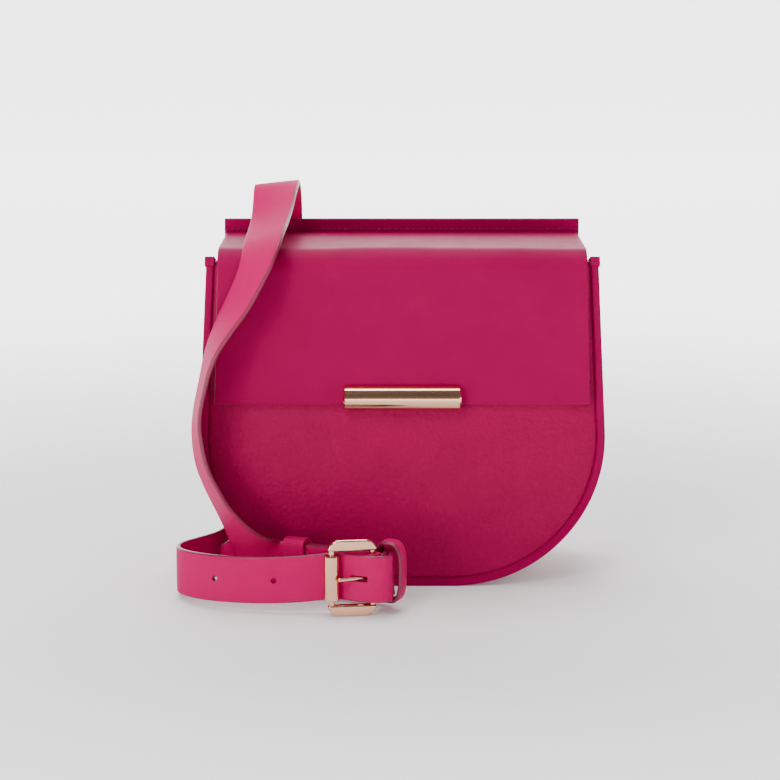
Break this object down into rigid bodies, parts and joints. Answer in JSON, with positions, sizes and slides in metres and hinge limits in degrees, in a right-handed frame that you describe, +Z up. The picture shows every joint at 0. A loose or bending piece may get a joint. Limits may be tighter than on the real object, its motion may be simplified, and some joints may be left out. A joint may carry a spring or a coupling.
{
  "type": "crossbody purse",
  "caption": "Half-round leather crossbody purse with a hinged front flap, bar closure, inner slip pocket and a long shoulder strap with a roller buckle and keepers.",
  "frame": {"origin": "middle of the flat base, on the surface the bag stands on", "axes": "+Z up; the front with the flap faces -Y; +X to the right seen from the front"},
  "size_m": [0.2286, 0.1718, 0.2132],
  "materials": {
    "grained_leather": "raspberry pink leather with a fine pebble grain, satin",
    "smooth_leather": "smooth raspberry pink leather, satin",
    "strap_leather": "smooth raspberry pink strap leather with painted edges",
    "lining_suede": "fine suede-like lining",
    "stiffening_board": "pressed fibre board",
    "gold_metal": "polished pale rose gold plating",
    "steel": "plain steel",
    "magnet": "nickel-plated magnet"
  },
  "bodies": {
    "bag": {"front_panel": "grained_leather", "front_board": "stiffening_board", "front_lining": "lining_suede", "back_panel": "grained_leather", "back_board": "stiffening_board", "back_lining": "lining_suede", "catch_discs": "steel", "gusset": "grained_leather", "gusset_stiffener": "stiffening_board", "gusset_lining": "lining_suede", "front_binding": "smooth_leather", "back_binding": "smooth_leather", "front_top_hem": "smooth_leather", "gusset_hems": "smooth_leather", "inner_pocket": "lining_suede", "ring_tab_left": "smooth_leather", "ring_tab_right": "smooth_leather", "tab_rivets": "gold_metal", "strap_end_left": "strap_leather", "strap_end_right": "strap_leather", "strap_end_rivets": "gold_metal", "strap_rear": "strap_leather", "strap_over_flap": "strap_leather", "strap_down": "strap_leather", "long_strap": "strap_leather", "buckle_loop": "strap_leather", "fixed_keeper": "strap_leather"},
    "flap": {"flap_outer": "smooth_leather", "flap_lining": "lining_suede", "hinge_ridge": "smooth_leather", "bar_shell": "gold_metal", "bar_back_plate": "gold_metal", "bar_screws": "gold_metal", "bar_magnets": "magnet"},
    "ring_left": {"strap_ring_left": "gold_metal"},
    "ring_right": {"strap_ring_right": "gold_metal"},
    "buckle": {"buckle_frame": "gold_metal"},
    "roller": {"buckle_roller": "gold_metal"},
    "prong": {"buckle_prong": "gold_metal"},
    "slider": {"sliding_keeper": "strap_leather"}
  },
  "joints": [
    {"name": "flap_hinge", "type": "hinge", "parent": "bag", "child": "flap", "pos_m": [0, 0.0365, 0.1805], "axis": [-1, 0, 0], "range_deg": [0, 110], "deforming": ["strap_over_flap"]},
    {"name": "ring_left_swing", "type": "hinge", "parent": "bag", "child": "ring_left", "pos_m": [-0.07, 0.0406, 0.15], "axis": [1, 0, 0], "range_deg": [0, 35], "deforming": ["strap_end_left"]},
    {"name": "ring_right_swing", "type": "hinge", "parent": "bag", "child": "ring_right", "pos_m": [0.07, 0.0406, 0.15], "axis": [1, 0, 0], "range_deg": [0, 35], "deforming": ["strap_end_right"]},
    {"name": "buckle_swing", "type": "hinge", "parent": "bag", "child": "buckle", "pos_m": [-0.0155, -0.092, 0.0205], "axis": [0, 0, 1], "range_deg": [0, 6]},
    {"name": "prong_lift", "type": "hinge", "parent": "buckle", "child": "prong", "pos_m": [-0.0155, -0.092, 0.0205], "axis": [0, 0, 1], "range_deg": [0, 8]},
    {"name": "roller_spin", "type": "hinge", "parent": "buckle", "child": "roller", "pos_m": [-0.0365, -0.0948, 0.0205], "axis": [0, 0, 1], "continuous": true},
    {"name": "keeper_slide", "type": "slide", "parent": "bag", "child": "slider", "axis": [-0.9231, 0.3847, 0], "range_m": [-0.028, 0]}
  ]
}
